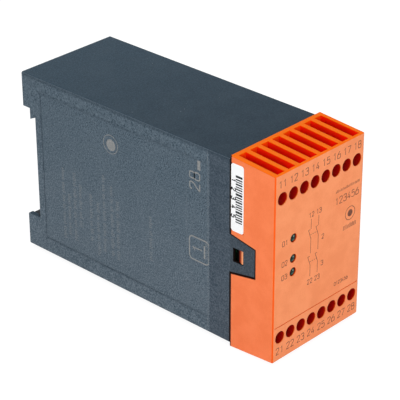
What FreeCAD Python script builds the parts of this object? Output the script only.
"""Safety relay in a 45 mm wide housing for a 35 mm mounting rail, as a parametric assembly.

Millimetres, +Z up. The front with the terminal screws looks along -Y, and the rail recess is at the back.
The origin is the bottom centre of the whole relay's box. Every driving size is a cell of the sheet "dims",
and "Places and sizes that follow from others" works out the rest.
"""
import FreeCAD
import Part
import Sketcher

import os
import re

TERMINALS = 8
ROWS = (("upper", "+"), ("lower", "-"))
INDICATORS = ("power", "channel_one", "channel_two")

SIZES = {
    # the whole relay
    "case_height": 73.0,
    "case_depth": 121.0,
    "end_margin": 0.9,
    # front cap
    "cap_depth": 19.2,
    "cap_draft": 1.35,
    "cap_front_wall": 1.5,
    "cap_side_wall": 1.3,
    "cap_floor": 1.0,
    "cap_round": 0.5,
    "seam": 0.45,
    "fit": 0.2,
    "line_width": 0.3,
    "line_depth": 0.2,
    "line_gap": 4.3,
    "line_margin": 0.9,
    "label_drop": 2.4,
    "label_length": 25.0,
    "label_inset": 0.2,
    "label_width": 5.5,
    "label_thick": 0.12,
    "label_round": 1.1,
    # terminals
    "pitch": 5.4,
    "screw_inset": 10.3,
    "driver_bore": 4.6,
    "slot_rib": 1.9,
    "slot_front_rim": 0.9,
    "slot_back_rim": 1.7,
    "slot_height": 3.5,
    "cell_rib": 0.8,
    "cell_lead": 1.7,
    "cell_reach": 7.7,
    "head_bore": 4.0,
    "head_height": 1.9,
    "recess_width": 0.8,
    "recess_length": 2.8,
    "recess_depth": 1.0,
    "shank_bore": 2.9,
    "tip_gap": 0.5,
    "thread_play": 0.05,
    "collar_play": 0.1,
    "collar_wall": 1.0,
    "arm_gap": 0.2,
    "arm_wall": 1.4,
    "arm_drop": 6.0,
    "base_wall": 2.1,
    "base_reach_in": 7.2,
    "base_reach_out": 6.4,
    "bar_play": 0.1,
    "bar_wall": 0.8,
    "bar_gap": 0.4,
    "bar_reach": 3.2,
    "bar_tail": 1.0,
    "clamp_play": 0.3,
    "clamp_height": 5.0,
    "clamp_wall": 0.5,
    "clamp_nut": 1.2,
    "clamp_gap": 0.5,
    "clamp_travel": 3.0,
    "travel_gap": 0.4,
    "wire_room": 3.4,
    # grey housing
    "side_step": 0.25,
    "body_low": 1.2,
    "body_top_gap": 1.4,
    "body_wall": 2.0,
    "body_side_wall": 1.2,
    "body_round": 0.6,
    "panel_depth": 0.2,
    "panel_front_gap": 9.55,
    "panel_back_gap": 9.5,
    "panel_low_gap": 6.1,
    "panel_high_gap": 5.7,
    # tongues that hold the cap
    "tongue_length": 10.7,
    "tongue_root_half": 7.2,
    "tongue_tip_half": 5.25,
    "tongue_play": 0.35,
    "window_inset": 0.95,
    "window_length": 4.55,
    "window_half": 2.65,
    "catch_wall": 1.1,
    "catch_half": 3.2,
    "catch_length": 2.4,
    "catch_tooth": 1.15,
    "catch_tooth_half": 2.35,
    # rail recess and hook
    "rail_height": 35.0,
    "rail_low": 19.8,
    "recess_back": 6.4,
    "hook_reach": 2.7,
    "hook_clear": 0.5,
    "hook_lip": 0.8,
    "hook_thick": 4.3,
    "upper_set_back": 0.2,
    "cheek_drop": 5.7,
    "cheek_wall": 2.05,
    # rail foot and its spring
    "foot_play": 0.2,
    "foot_lift": 2.8,
    "foot_top_gap": 0.3,
    "foot_set_back": 0.5,
    "nose_inset": 4.5,
    "nose_grip": 0.8,
    "nose_wall": 1.0,
    "nose_start": 1.2,
    "runner_wall": 1.2,
    "runner_reach": 1.0,
    "runner_start": 1.3,
    "foot_window_half": 5.0,
    "foot_window_play": 0.4,
    "foot_pocket_gap": 2.0,
    "foot_pocket_rim": 1.6,
    "foot_pocket_floor": 2.4,
    "ledge_lift": 4.2,
    "ledge_wall": 0.9,
    "ledge_reach": 4.6,
    "spring_wall": 0.35,
    "spring_width": 3.0,
    "spring_rise": 3.2,
    "spring_gap": 0.3,
    # circuit boards
    "board_wall": 1.6,
    "board_edge": 0.35,
    "front_board_inset": 0.45,
    "side_board_inset": 6.05,
    "side_board_gap": 1.0,
    "side_board_end_gap": 5.6,
    "guide_wall": 1.0,
    "guide_height": 1.4,
    "guide_gap": 3.4,
    "header_size": 2.5,
    "header_length": 30.0,
    # indicators
    "led_place": 12.95,
    "led_bore": 3.0,
    "led_hole": 3.2,
    "led_tip": 0.15,
    "led_shoulder": 0.7,
    "led_length": 5.2,
    "led_flange": 3.7,
    "led_flange_wall": 0.9,
    "lead_width": 0.5,
    "lead_gap": 2.54,
    "lead_play": 0.2,
    "holder_half": 2.3,
    "holder_margin": 3.2,
    "power_rise": 9.4,
    "channel_one_rise": 1.7,
    "channel_two_rise": -3.4,
    # parts on the boards
    "relay_length": 39.0,
    "relay_width": 13.0,
    "relay_rise": 15.5,
    "relay_gap": 0.4,
    "relay_step": 18.5,
    "relay_round": 0.8,
    "core_length": 28.0,
    "core_height": 34.0,
    "core_leg": 5.2,
    "core_stack": 10.0,
    "core_end_gap": 1.5,
    "coil_wall": 4.4,
    "coil_play": 0.3,
    "coil_round": 2.0,
    "store_bore": 10.0,
    "store_rise": 11.0,
    "store_place": 46.0,
    "store_high": 11.5,
    "store_step": 14.0,
    "store_edge": 0.6,
    "varistor_bore": 9.0,
    "varistor_wall": 4.0,
    "varistor_edge": 1.2,
    "varistor_gap": 9.0,
    "varistor_drop": 18.0,
    "chip_length": 9.0,
    "chip_width": 4.0,
    "chip_rise": 1.6,
    "chip_start": 34.0,
    "chip_step": 11.5,
}

# Places and sizes that follow from others
PLACES = {
    "case_width": f"pitch*{TERMINALS} + 2*end_margin",
    "front": "-case_depth/2",
    "back": "case_depth/2",
    "middle": "case_height/2",
    "half_width": "case_width/2",
    "cap_back": "front + cap_depth",
    "line_height": "middle - screw_row + line_gap",
    "label_high": "case_height - label_drop",
    "label_low": "label_high - label_length",
    "label_end": "cap_back - label_inset",
    "label_start": "label_end - label_width",
    # terminals, from the back of the cap towards its front, and out from the middle
    "first_terminal": f"-pitch*{TERMINALS - 1}/2",
    "screw_row": "middle - screw_inset",
    "slot_width": "pitch - slot_rib",
    "cell_width": "pitch - cell_rib",
    "arm_width": "cell_width - 2*arm_gap",
    "clamp_width": "cell_width - 2*clamp_play",
    "bar_width": "clamp_width - 2*clamp_wall - 2*bar_play",
    "clamp_length": "clamp_nut + bar_gap + bar_wall + wire_room + clamp_wall",
    "clamp_front": "cap_back - clamp_gap - clamp_length",
    "bar_front": "clamp_front + clamp_nut + bar_gap",
    "collar_back": "clamp_front - clamp_travel - travel_gap",
    "collar_front": "collar_back - collar_wall",
    "head_front": "collar_front - collar_play - head_height",
    "shank_end": "bar_front - tip_gap - head_front",
    "cell_front": "head_front - cell_lead",
    "cell_low": "screw_row - cell_reach",
    "cell_high": "middle - slot_height",
    "bar_seat": "screw_row - arm_drop + arm_wall",
    "bar_high": "screw_row + bar_reach",
    # housing
    "body_half": "half_width - side_step",
    "body_high": "case_height - body_top_gap",
    "body_front": "cap_back + seam",
    "inner_half": "body_half - body_side_wall",
    "floor_in": "body_low + body_wall",
    "roof_in": "body_high - body_wall",
    "tongue_tip": "cap_back - tongue_length",
    "window_back": "cap_back - window_inset",
    "window_front": "window_back - window_length",
    "catch_back": "window_front + catch_length",
    "rail_plane": "back - recess_back",
    "hook_back": "rail_plane + hook_reach",
    "hook_root": "rail_low + rail_height + hook_clear",
    "hook_tip": "rail_low + rail_height - hook_lip",
    "hook_step": "hook_tip + hook_thick",
    "upper_back": "back - upper_set_back",
    "cheek_top": "rail_low - cheek_drop",
    "channel_half": "body_half - cheek_wall",
    # rail foot and spring
    "foot_half": "channel_half - foot_play",
    "foot_front": "rail_plane + foot_play",
    "foot_back": "back - foot_set_back",
    "foot_low": "body_low + foot_lift",
    "foot_top": "cheek_top - foot_top_gap",
    "nose_half": "foot_half - nose_inset",
    "nose_top": "rail_low + nose_grip",
    "runner_front": "foot_front + runner_start",
    "ledge_low": "body_low + ledge_lift",
    "ledge_top": "ledge_low + ledge_wall",
    "foot_window_low": "ledge_low - foot_window_play",
    "foot_window_high": "ledge_top + spring_rise + spring_wall + spring_gap",
    # boards
    "board_front": "body_front + fit + base_wall",
    "board_back": "board_front + board_wall",
    "front_board_half": "inner_half - front_board_inset",
    "side_board_place": "inner_half - side_board_inset",
    "side_board_in": "side_board_place - board_wall",
    "side_board_start": "board_back + side_board_gap",
    "side_board_end": "rail_plane - body_wall - side_board_end_gap",
    "header_back": "side_board_start + header_size",
}

doc = FreeCAD.newDocument("safety_relay")
dims = doc.addObject("Spreadsheet::Sheet", "dims")
for row, (name, size) in enumerate(SIZES.items(), start=1):
    dims.set(f"A{row}", name)
    dims.set(f"B{row}", str(size))
    dims.setAlias(f"B{row}", name)
doc.recompute()

pieces = []


def expand(text):
    """Writes names of sizes as cells of the sheet, and names of places as what they stand for."""

    def swap(found):
        word = found.group()
        if word in PLACES:
            return "(" + expand(PLACES[word]) + ")"
        return "dims." + word if word in SIZES else word

    return re.sub(r"[a-z][a-z_]*", swap, str(text))


def new_body(label):
    """A sub-part. Its label is the name of its file."""
    body = doc.addObject("PartDesign::Body", label)
    body.Label = label
    pieces.append(body)
    return body


def origin_feature(body, role):
    return next(item for item in body.Origin.OriginFeatures if item.Role == role)


def bind(sketch, constraints):
    """Adds constraints, each with the expression that sets it."""
    numbers = sketch.addConstraint([constraint for constraint, _ in constraints])
    for number, (_, text) in zip(numbers, constraints):
        if text is not None:
            sketch.setExpression(f"Constraints[{number}]", expand(text))


def polygon(*corners):
    """A closed outline through corners, each a pair of expressions."""

    def add(sketch):
        first = sketch.GeometryCount
        count = len(corners)
        spots = [
            FreeCAD.Vector(number + 1, (number + 1) ** 2, 0)
            for number in range(count)
        ]
        for number in range(count):
            sketch.addGeometry(Part.LineSegment(spots[number], spots[(number + 1) % count]), False)
        constraints = []
        for number, (across, along) in enumerate(corners):
            line = first + number
            following = first + (number + 1) % count
            constraints += [
                (Sketcher.Constraint("Coincident", line, 2, following, 1), None),
                (Sketcher.Constraint("DistanceX", -1, 1, line, 1, 1.0), across),
                (Sketcher.Constraint("DistanceY", -1, 1, line, 1, 1.0), along),
            ]
        bind(sketch, constraints)

    return add


def rectangle(left, right, low, high):
    return polygon((left, low), (right, low), (right, high), (left, high))


def circle(across, along, bore):
    """A round outline of diameter bore."""

    def add(sketch):
        number = sketch.addGeometry(Part.Circle(FreeCAD.Vector(1, 1, 0), FreeCAD.Vector(0, 0, 1), 1.0), False)
        constraints = [
            (Sketcher.Constraint("DistanceX", -1, 1, number, 3, 1.0), across),
            (Sketcher.Constraint("DistanceY", -1, 1, number, 3, 1.0), along),
            (Sketcher.Constraint("Diameter", number, 2.0), bore),
        ]
        bind(sketch, constraints)

    return add


def draw(body, plane, place, outlines):
    """A sketch on one of the body's own planes, moved to place along that plane's axis."""
    sketch = body.newObject("Sketcher::SketchObject", "outline")
    sketch.AttachmentSupport = [(origin_feature(body, plane + "_Plane"), "")]
    sketch.MapMode = "FlatFace"
    sign = "-" if plane == "XZ" else ""
    sketch.setExpression("AttachmentOffset.Base.z", expand(f"{sign}({place})"))
    for outline in outlines:
        outline(sketch)
    return sketch


def extrude(body, kind, plane, start, end, *outlines):
    """Adds ("Pad") or cuts ("Pocket") outlines from start to end along the plane's axis."""
    sketch = draw(body, plane, start, outlines)
    feature = body.newObject("PartDesign::" + kind, kind.lower())
    feature.Profile = sketch
    feature.setExpression("Length", expand(f"({end}) - ({start})"))
    feature.Reversed = (plane == "XZ") == (kind == "Pad")
    return feature


def pad(body, plane, start, end, *outlines):
    return extrude(body, "Pad", plane, start, end, *outlines)


def cut(body, plane, start, end, *outlines):
    return extrude(body, "Pocket", plane, start, end, *outlines)


def revolve(body, *corners):
    """Turns an outline (radius, place along Y) round the body's own Y axis."""
    feature = body.newObject("PartDesign::Revolution", "turned")
    feature.Profile = draw(body, "XY", "0", [polygon(*corners)])
    feature.ReferenceAxis = (origin_feature(body, "Y_Axis"), [""])
    feature.Angle = 360
    return feature


def repeat(body, features, step, count):
    """Repeats features along X."""
    doc.recompute()
    pattern = body.newObject("PartDesign::LinearPattern", "row")
    pattern.Originals = features
    pattern.Direction = (origin_feature(body, "X_Axis"), [""])
    pattern.Mode = "Spacing"
    pattern.setExpression("Offset", expand(step))
    pattern.Occurrences = count
    body.Tip = pattern
    return pattern


def dress_edges(body, kind, size, wanted):
    """Rounds ("Fillet") or bevels ("Chamfer") the edges of the body's last shape that wanted picks."""
    doc.recompute()
    last = body.Tip
    edges = enumerate(last.Shape.Edges, start=1)
    names = [f"Edge{number}" for number, edge in edges if wanted(edge, last.Shape)]
    feature = body.newObject("PartDesign::" + kind, kind.lower())
    feature.Base = (last, names)
    feature.setExpression("Radius" if kind == "Fillet" else "Size", expand(size))
    return feature


def at_start(axis):
    """Picks the edges that lie in a shape's lowest plane across an axis, 0 to 2."""

    def wanted(edge, shape):
        highest = (edge.BoundBox.XMax, edge.BoundBox.YMax, edge.BoundBox.ZMax)[axis]
        lowest = (shape.BoundBox.XMin, shape.BoundBox.YMin, shape.BoundBox.ZMin)[axis]
        return highest < lowest + 0.01

    return wanted


def runs_along(edge, axis):
    """Whether an edge is straight and parallel to an axis, 0 to 2."""
    if len(edge.Vertexes) != 2 or not isinstance(edge.Curve, Part.Line):
        return False
    direction = edge.Vertexes[1].Point - edge.Vertexes[0].Point
    return abs(direction[axis]) > 0.999 * direction.Length


def place(body, across, deep, high):
    """Puts a body that was drawn round its own origin in its place."""
    for axis, text in zip("xyz", (across, deep, high)):
        body.setExpression(f"Placement.Base.{axis}", expand(text))


def band(side, low, high):
    """Heights from low to high out from the middle, in rising order: side + is up and - is down."""
    if side == "+":
        return f"middle + {low}", f"middle + {high}"
    return f"middle - ({high})", f"middle - ({low})"


def led_height(name):
    return f"middle + {name}_rise"


def terminal_place(number):
    return f"first_terminal + pitch*{number}"


def front_cap():
    """Moulded front cap: wire slots, driver holes, terminal cells, indicator holes and two catches."""
    body = new_body("front_cap")
    pad(
        body, "YZ", "-half_width", "half_width",
        polygon(
            ("front", "cap_draft"),
            ("cap_back", "0"),
            ("cap_back", "case_height"),
            ("front", "case_height - cap_draft"),
        ),
    )

    def outer(edge, shape):
        return edge.BoundBox.YMin < shape.BoundBox.YMax - 1.0

    dress_edges(body, "Fillet", "cap_round", outer)
    cut(
        body, "XZ", "front + cap_front_wall", "cap_back + 1",
        rectangle(
            "cap_side_wall - half_width", "half_width - cap_side_wall",
            "middle - cell_low + cap_floor", "middle + cell_low - cap_floor",
        ),
    )
    for _, side in ROWS:
        low, high = band(side, "cell_low", "cell_high")
        cell = cut(
            body, "XZ", "cell_front", "cap_back + 1",
            rectangle("first_terminal - cell_width/2", "first_terminal + cell_width/2", low, high),
        )
        low, high = band(side, "cell_high - 0.1", "middle + 1")
        slot = cut(
            body, "XY", low, high,
            rectangle(
                "first_terminal - slot_width/2", "first_terminal + slot_width/2",
                "front + slot_front_rim", "cap_back - slot_back_rim",
            ),
        )
        bore = cut(
            body, "XZ", "front - 1", "cell_front + 0.1",
            circle("first_terminal", f"middle {side} screw_row", "driver_bore"),
        )
        repeat(body, [cell, slot, bore], "pitch", TERMINALS)
    cut(
        body, "XZ", "front - 1", "front + cap_front_wall + 1",
        *(circle("-led_place", led_height(name), "led_hole") for name in INDICATORS),
    )
    cut(
        body, "XZ", "front - 1", "front + line_depth",
        rectangle(
            "line_margin - half_width", "half_width - line_margin",
            "line_height - line_width/2", "line_height + line_width/2",
        ),
    )
    cut(
        body, "YZ", "-half_width - 1", "label_thick - half_width",
        rectangle("label_start", "label_end", "label_low", "label_high"),
    )
    for side in "-+":
        tongue_opening(body, side)
        catch(body, side)


def outward(side, near, far):
    """Places from near to far from the middle plane, in rising order: side - is the left."""
    if side == "+":
        return near, far
    return f"-({far})", f"-({near})"


def tongue_outline(play, tip, root):
    """The tongue's tapered outline, larger by play all round."""
    slope = "(tongue_root_half - tongue_tip_half)/tongue_length"
    tip_half = f"tongue_tip_half + {play}"
    root_half = f"tongue_tip_half + {play} + {slope}*({root} - {tip})"
    return polygon(
        (tip, f"middle - ({tip_half})"),
        (root, f"middle - ({root_half})"),
        (root, f"middle + {root_half}"),
        (tip, f"middle + {tip_half}"),
    )


def tongue_opening(body, side):
    near, far = outward(side, "half_width - cap_side_wall - 0.5", "half_width + 1")
    cut(body, "YZ", near, far, tongue_outline("tongue_play", "tongue_tip - tongue_play", "cap_back + 1"))


def catch(body, side):
    """A springy arm inside the cap with the ramped tooth that snaps into the tongue's window."""
    arm_out = "inner_half - fit"
    near, far = outward(side, f"{arm_out} - catch_wall", arm_out)
    pad(
        body, "YZ", near, far,
        rectangle(
            "front + cap_front_wall - 0.2", "catch_back",
            "middle - catch_half", "middle + catch_half",
        ),
    )
    sign = side if side == "-" else ""
    pad(
        body, "XY", "middle - catch_tooth_half", "middle + catch_tooth_half",
        polygon(
            (f"{sign}({arm_out})", "window_front + fit"),
            (f"{sign}({arm_out} + catch_tooth)", "window_front + fit"),
            (f"{sign}({arm_out} + catch_tooth)", "catch_back - catch_tooth"),
            (f"{sign}({arm_out})", "catch_back"),
        ),
    )


def label_strip():
    """Self-adhesive strip in the shallow recess of the cap's left side."""
    body = new_body("label_strip")
    pad(
        body, "YZ", "-half_width", "label_thick - half_width",
        rectangle("label_start", "label_end", "label_low", "label_high"),
    )
    dress_edges(body, "Fillet", "label_round", lambda edge, shape: runs_along(edge, 0))


def housing():
    """Moulded pot: rail hook, cheeks of the rail foot, snap tongues and guides of the boards."""
    body = new_body("housing")
    pad(
        body, "YZ", "-body_half", "body_half",
        polygon(
            ("body_front", "body_low"),
            ("back", "body_low"),
            ("back", "cheek_top"),
            ("rail_plane", "cheek_top"),
            ("rail_plane", "hook_root"),
            ("hook_back", "hook_tip"),
            ("hook_back", "hook_step"),
            ("upper_back", "hook_step"),
            ("upper_back", "body_high"),
            ("body_front", "body_high"),
        ),
    )

    def long_edge(edge, shape):
        above_floor = edge.BoundBox.ZMin - shape.BoundBox.ZMin
        under_roof = shape.BoundBox.ZMax - edge.BoundBox.ZMax
        return runs_along(edge, 1) and min(above_floor, under_roof) < 0.01

    dress_edges(body, "Fillet", "body_round", long_edge)
    cut(
        body, "YZ", "-inner_half", "inner_half",
        polygon(
            ("body_front - 1", "floor_in"),
            ("rail_plane - body_wall", "floor_in"),
            ("rail_plane - body_wall", "hook_step + body_wall"),
            ("upper_back - body_wall", "hook_step + body_wall"),
            ("upper_back - body_wall", "roof_in"),
            ("body_front - 1", "roof_in"),
        ),
    )
    foot_channel(body)
    for side in "-+":
        near, far = outward(side, "inner_half", "body_half")
        pad(body, "YZ", near, far, tongue_outline("0", "tongue_tip", "body_front + 0.1"))
        near, far = outward(side, "inner_half - 1", "body_half + 1")
        cut(
            body, "YZ", near, far,
            rectangle("window_front", "window_back", "middle - window_half", "middle + window_half"),
        )
        near, far = outward(side, "body_half - panel_depth", "body_half + 1")
        cut(
            body, "YZ", near, far,
            rectangle(
                "body_front + panel_front_gap", "back - panel_back_gap",
                "body_low + panel_low_gap", "body_high - panel_high_gap",
            ),
        )
        board_guides(body, side)


def foot_channel(body):
    """Channel between the cheeks, grooves for the foot's runners and the ledge that carries the spring."""
    cut(
        body, "YZ", "-channel_half", "channel_half",
        rectangle("rail_plane", "back + 1", "body_low - 1", "cheek_top + 1"),
    )
    reach = "foot_half + runner_reach + foot_play/2"
    cut(
        body, "YZ", f"-({reach})", reach,
        rectangle(
            "runner_front - foot_play/2", "runner_front + runner_wall + foot_play/2",
            "body_low - 1", "cheek_top + 1",
        ),
    )
    pad(
        body, "YZ", "fit - foot_window_half", "foot_window_half - fit",
        rectangle("rail_plane - 0.1", "rail_plane + ledge_reach", "ledge_low", "ledge_top"),
    )


def board_guides(body, side):
    """Two rails on the floor and two on the roof, with a side board's edge between each pair."""
    for near, far in (
        ("side_board_in - fit - guide_wall", "side_board_in - fit"),
        ("side_board_place + fit", "side_board_place + fit + guide_wall"),
    ):
        left, right = outward(side, near, far)
        for low, high in (("floor_in - 0.1", "floor_in + guide_height"), ("roof_in - guide_height", "roof_in + 0.1")):
            pad(body, "XY", low, high, rectangle(left, right, "board_back + guide_gap", "side_board_end"))


def rail_foot():
    """Sliding foot: plate with runners, a nose that grips the rail, and a window for the spring."""
    body = new_body("rail_foot")
    pad(
        body, "YZ", "-foot_half", "foot_half",
        rectangle("foot_front", "foot_back", "foot_low", "foot_top"),
    )
    pad(
        body, "YZ", "-foot_half - runner_reach", "foot_half + runner_reach",
        rectangle("runner_front", "runner_front + runner_wall", "foot_low", "foot_top"),
    )
    pad(
        body, "YZ", "-nose_half", "nose_half",
        polygon(
            ("rail_plane + nose_start", "foot_top - 0.1"),
            ("foot_back", "foot_top - 0.1"),
            ("foot_back", "foot_top"),
            ("rail_plane + nose_start + nose_wall", "nose_top"),
            ("rail_plane + nose_start", "nose_top"),
        ),
    )
    cut(
        body, "XZ", "foot_front - 1", "foot_back + 1",
        rectangle("-foot_window_half", "foot_window_half", "foot_window_low", "foot_window_high"),
    )
    for side in "-+":
        near, far = outward(side, "foot_window_half + foot_pocket_gap", "foot_half - foot_pocket_rim")
        cut(
            body, "XZ", "foot_front + foot_pocket_floor", "foot_back + 1",
            rectangle(near, far, "foot_low + foot_pocket_rim", "foot_top - foot_pocket_rim"),
        )


def foot_spring():
    """Bowed leaf spring: its ends stand on the housing's ledge and its crown lifts the foot's window."""
    body = new_body("foot_spring")
    half = "foot_window_half - 2*fit"
    rise = "spring_rise"
    low = "ledge_top"
    sketch = draw(body, "XZ", "foot_front + foot_play", [])
    # the lower arc runs through its two feet and its crown, and the upper one is concentric with it
    radius = f"((({half})^2 + ({rise})^2)/(2*{rise}))"
    lower = sketch.addGeometry(
        Part.ArcOfCircle(Part.Circle(FreeCAD.Vector(0, 2, 0), FreeCAD.Vector(0, 0, 1), 5.0), 0.6, 2.5), False
    )
    upper = sketch.addGeometry(
        Part.ArcOfCircle(Part.Circle(FreeCAD.Vector(0, 2, 0), FreeCAD.Vector(0, 0, 1), 5.5), 0.6, 2.5), False
    )
    right = sketch.addGeometry(Part.LineSegment(FreeCAD.Vector(4.2, 5, 0), FreeCAD.Vector(4.6, 5.2, 0)), False)
    left = sketch.addGeometry(Part.LineSegment(FreeCAD.Vector(-4.6, 5.2, 0), FreeCAD.Vector(-4.2, 5, 0)), False)
    bind(
        sketch,
        [
            (Sketcher.Constraint("Coincident", lower, 1, right, 1), None),
            (Sketcher.Constraint("Coincident", right, 2, upper, 1), None),
            (Sketcher.Constraint("Coincident", upper, 2, left, 1), None),
            (Sketcher.Constraint("Coincident", left, 2, lower, 2), None),
            (Sketcher.Constraint("Coincident", lower, 3, upper, 3), None),
            (Sketcher.Constraint("Horizontal", right), None),
            (Sketcher.Constraint("Horizontal", left), None),
            (Sketcher.Constraint("DistanceX", -1, 1, lower, 3, 0.0), "0"),
            (Sketcher.Constraint("DistanceX", -1, 1, lower, 1, 4.2), half),
            (Sketcher.Constraint("DistanceY", -1, 1, lower, 1, 5.0), low),
            (Sketcher.Constraint("DistanceY", -1, 1, lower, 2, 5.0), low),
            (Sketcher.Constraint("Radius", lower, 5.0), radius),
            (Sketcher.Constraint("Radius", upper, 5.5), f"{radius} + spring_wall"),
        ],
    )
    feature = body.newObject("PartDesign::Pad", "leaf")
    feature.Profile = sketch
    feature.setExpression("Length", expand("spring_width"))
    feature.Reversed = True


def terminal_carrier(name, side):
    """Moulded comb: a base in front of the board and an arm with an upright collar for each screw."""
    body = new_body(f"terminal_carrier_{name}")
    left = "first_terminal - arm_width/2"
    right = "first_terminal + arm_width/2"
    arm = pad(
        body, "YZ", left, right,
        polygon(
            ("collar_front", f"middle {side} (screw_row - arm_drop)"),
            ("board_front", f"middle {side} (screw_row - arm_drop)"),
            ("board_front", f"middle {side} bar_seat"),
            ("collar_back", f"middle {side} bar_seat"),
            ("collar_back", f"middle {side} bar_high"),
            ("collar_front", f"middle {side} bar_high"),
        ),
    )
    bore = cut(
        body, "XZ", "collar_front - 1", "collar_back + 1",
        circle("first_terminal", f"middle {side} screw_row", "shank_bore + 2*thread_play"),
    )
    repeat(body, [arm, bore], "pitch", TERMINALS)
    low, high = band(side, "screw_row - base_reach_in", "screw_row + base_reach_out")
    pad(
        body, "XZ", "board_front - base_wall", "board_front",
        rectangle("-inner_half + fit", "inner_half - fit", low, high),
    )
    low, high = band(side, "bar_seat", "bar_seat + bar_wall + fit")
    gap = cut(
        body, "XZ", "board_front - base_wall - 0.5", "board_front + 1",
        rectangle("first_terminal - bar_width/2 - fit/2", "first_terminal + bar_width/2 + fit/2", low, high),
    )
    repeat(body, [gap], "pitch", TERMINALS)


def terminal_bars(name, side):
    """Eight current bars: the upright that the wire is pressed against, and the tail into the board."""
    body = new_body(f"terminal_bars_{name}")
    bar = pad(
        body, "YZ", "first_terminal - bar_width/2", "first_terminal + bar_width/2",
        polygon(
            ("bar_front", f"middle {side} bar_seat"),
            ("board_back + bar_tail", f"middle {side} bar_seat"),
            ("board_back + bar_tail", f"middle {side} (bar_seat + bar_wall)"),
            ("bar_front + bar_wall", f"middle {side} (bar_seat + bar_wall)"),
            ("bar_front + bar_wall", f"middle {side} bar_high"),
            ("bar_front", f"middle {side} bar_high"),
        ),
    )
    repeat(body, [bar], "pitch", TERMINALS)


def terminal_screw(name, side, number):
    """Captive clamp screw with a cross recess, turned round its own Y axis and put in its place."""
    body = new_body(f"screw_{name}_{number + 1}")
    revolve(
        body,
        ("0", "0"),
        ("head_bore/2", "0"),
        ("head_bore/2", "head_height"),
        ("shank_bore/2", "head_height"),
        ("shank_bore/2", "shank_end"),
        ("0", "shank_end"),
    )
    wide = ("-recess_length/2", "recess_length/2")
    narrow = ("-recess_width/2", "recess_width/2")
    for across, along in ((wide, narrow), (narrow, wide)):
        cut(body, "XZ", "-1", "recess_depth", rectangle(*across, *along))
    place(body, terminal_place(number), "head_front", f"middle {side} screw_row")


def wire_clamp(name, side, number):
    """Folded steel cage whose threaded front wall rides on the screw."""
    body = new_body(f"clamp_{name}_{number + 1}")
    pad(
        body, "XY", "-clamp_height/2", "clamp_height/2",
        rectangle("-clamp_width/2", "clamp_width/2", "0", "clamp_length"),
    )
    cut(
        body, "XY", "-clamp_height/2 - 1", "clamp_height/2 + 1",
        rectangle(
            "clamp_wall - clamp_width/2", "clamp_width/2 - clamp_wall",
            "clamp_nut", "clamp_length - clamp_wall",
        ),
    )
    cut(body, "XZ", "-1", "clamp_nut + 1", circle("0", "0", "shank_bore + 2*thread_play"))
    place(body, terminal_place(number), "clamp_front", f"middle {side} screw_row")


def front_board():
    """Upright board behind the terminals, slotted for the bars' tails and the indicators' leads."""
    body = new_body("front_board")
    pad(
        body, "XZ", "board_front", "board_back",
        rectangle("-front_board_half", "front_board_half", "floor_in + board_edge", "roof_in - board_edge"),
    )
    slots = []
    for _, side in ROWS:
        low, high = band(side, "bar_seat - fit/2", "bar_seat + bar_wall + fit/2")
        slots.append(
            cut(
                body, "XZ", "board_front - 1", "board_back + 1",
                rectangle(
                    "first_terminal - bar_width/2 - fit/2", "first_terminal + bar_width/2 + fit/2", low, high
                ),
            )
        )
    repeat(body, slots, "pitch", TERMINALS)
    cut(body, "XZ", "board_front - 1", "board_back + 1", *(lead_slot(name) for name in INDICATORS))


def lead_slot(name):
    reach = "lead_gap/2 + lead_width/2 + lead_play"
    height = led_height(name)
    return rectangle(
        "-led_place - lead_width/2 - lead_play", "-led_place + lead_width/2 + lead_play",
        f"{height} - ({reach})", f"{height} + {reach}",
    )


def side_board(name, side):
    """Long board that stands in the housing's guides."""
    body = new_body(f"{name}_board")
    near, far = outward(side, "side_board_in", "side_board_place")
    pad(
        body, "YZ", near, far,
        rectangle(
            "side_board_start", "side_board_end - fit",
            "floor_in + board_edge", "roof_in - board_edge",
        ),
    )


def board_header(name, side):
    """Right-angled connector strip between the front board and a side board."""
    body = new_body(f"{name}_header")
    near, far = outward(side, "side_board_in - header_size", "side_board_in")
    pad(
        body, "XY", "middle - header_length/2", "middle + header_length/2",
        rectangle(near, far, "board_back", "header_back"),
    )


def indicators():
    """Three round indicators with their leads, and the holder that keeps them at the cap's holes."""
    for name in INDICATORS:
        body = new_body(f"led_{name}")
        height = led_height(name)
        pad(body, "XZ", "front + led_tip", "front + led_tip + led_length", circle("-led_place", height, "led_bore"))
        dress_edges(body, "Chamfer", "led_shoulder", at_start(1))
        pad(
            body, "XZ", "front + led_tip + led_length - led_flange_wall", "front + led_tip + led_length",
            circle("-led_place", height, "led_flange"),
        )
        leads = [
            rectangle(
                "-led_place - lead_width/2", "-led_place + lead_width/2",
                f"{height} {sign} lead_gap/2 - lead_width/2", f"{height} {sign} lead_gap/2 + lead_width/2",
            )
            for sign in "-+"
        ]
        pad(body, "XZ", "front + led_tip + led_length", "board_back", *leads)
    holder = new_body("led_holder")
    pad(
        holder, "XZ", "front + led_tip + led_length", "board_front",
        rectangle(
            "-led_place - holder_half", "-led_place + holder_half",
            "middle + channel_two_rise - holder_margin", "middle + power_rise + holder_margin",
        ),
    )
    cut(holder, "XZ", "front", "board_front + 1", *(lead_slot(name) for name in INDICATORS))


def safety_relay(number):
    """Sealed relay that lies along the left board."""
    body = new_body(f"relay_{number + 1}")
    low = f"middle - relay_width/2 + relay_step*{number - 1}"
    start = "header_back + relay_gap"
    pad(
        body, "YZ", "-side_board_in", "-side_board_in + relay_rise",
        rectangle(start, f"{start} + relay_length", low, f"{low} + relay_width"),
    )
    dress_edges(body, "Fillet", "relay_round", lambda edge, shape: runs_along(edge, 0))


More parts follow.
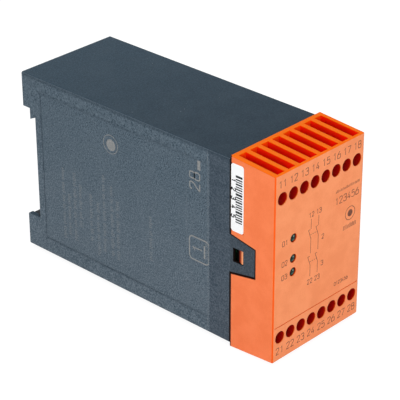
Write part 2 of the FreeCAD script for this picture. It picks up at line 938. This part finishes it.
def transformer():
    """Mains transformer on the right board: laminated core with two windows and the wound coil."""
    core = new_body("transformer_core")
    end = "side_board_end - core_end_gap"
    start = f"{end} - core_length"
    bottom = "middle - core_height/2"
    top = "middle + core_height/2"
    near = "side_board_in - coil_wall - core_stack"
    pad(core, "YZ", near, "side_board_in - coil_wall", rectangle(start, end, bottom, top))
    for low, high in (
        (f"{bottom} + core_leg", "middle - core_leg"),
        ("middle + core_leg", f"{top} - core_leg"),
    ):
        cut(
            core, "YZ", f"{near} - 1", "side_board_in - coil_wall + 1",
            rectangle(f"{start} + core_leg", f"{end} - core_leg", low, high),
        )
    coil = new_body("transformer_coil")
    pad(
        coil, "XZ", f"{start} + core_leg + coil_play", f"{end} - core_leg - coil_play",
        rectangle(
            f"{near} - coil_wall", "side_board_in",
            f"{bottom} + core_leg + coil_play", f"{top} - core_leg - coil_play",
        ),
    )
    dress_edges(coil, "Fillet", "coil_round", lambda edge, shape: runs_along(edge, 1))
    cut(
        coil, "XZ", start, end,
        rectangle(
            f"{near} - coil_play/2", "side_board_in - coil_wall + coil_play/2",
            "middle - core_leg - coil_play/2", "middle + core_leg + coil_play/2",
        ),
    )


def storage_capacitor(number):
    """Round electrolytic capacitor that stands on the right board."""
    body = new_body(f"capacitor_{number + 1}")
    spot = ("front + store_place", f"middle + store_high - store_step*{number}")
    pad(body, "YZ", "side_board_in - store_rise", "side_board_in", circle(*spot, "store_bore"))
    dress_edges(body, "Chamfer", "store_edge", at_start(0))


def varistor():
    """Disc varistor across the supply."""
    body = new_body("varistor")
    spot = ("front + store_place + varistor_gap", "middle - varistor_drop")
    pad(body, "YZ", "side_board_in - varistor_wall", "side_board_in", circle(*spot, "varistor_bore"))
    dress_edges(body, "Chamfer", "varistor_edge", at_start(0))


def control_chips():
    """Four logic chips on the right board."""
    body = new_body("control_chips")
    for number in range(4):
        start = f"front + chip_start + chip_step*{number}"
        pad(
            body, "YZ", "side_board_in - chip_rise", "side_board_in",
            rectangle(start, f"{start} + chip_length", "roof_in - 3*chip_width", "roof_in - 2*chip_width"),
        )


front_cap()
label_strip()
housing()
rail_foot()
foot_spring()
for row_name, row_side in ROWS:
    terminal_carrier(row_name, row_side)
    terminal_bars(row_name, row_side)
    for terminal in range(TERMINALS):
        terminal_screw(row_name, row_side, terminal)
        wire_clamp(row_name, row_side, terminal)
front_board()
side_board("relay", "-")
side_board("supply", "+")
board_header("relay", "-")
board_header("supply", "+")
indicators()
for relay in range(3):
    safety_relay(relay)
transformer()
for capacitor in range(2):
    storage_capacitor(capacitor)
varistor()
control_chips()

doc.recompute()
for item in doc.Objects:
    if "Invalid" in item.State or "Error" in item.State:
        raise RuntimeError(f"{item.Label} failed: {item.State}")
for body in pieces:
    if body.Shape.isNull() or not body.Shape.isValid():
        raise RuntimeError(f"{body.Label} has no valid shape")

os.makedirs("parts", exist_ok=True)
for body in pieces:
    body.Shape.exportStep(f"parts/{body.Label}.step")
box = Part.makeCompound([body.Shape for body in pieces]).BoundBox
print(f"{len(pieces)} pieces, {box.XLength:.2f} x {box.YLength:.2f} x {box.ZLength:.2f} mm, lowest {box.ZMin:.2f}")
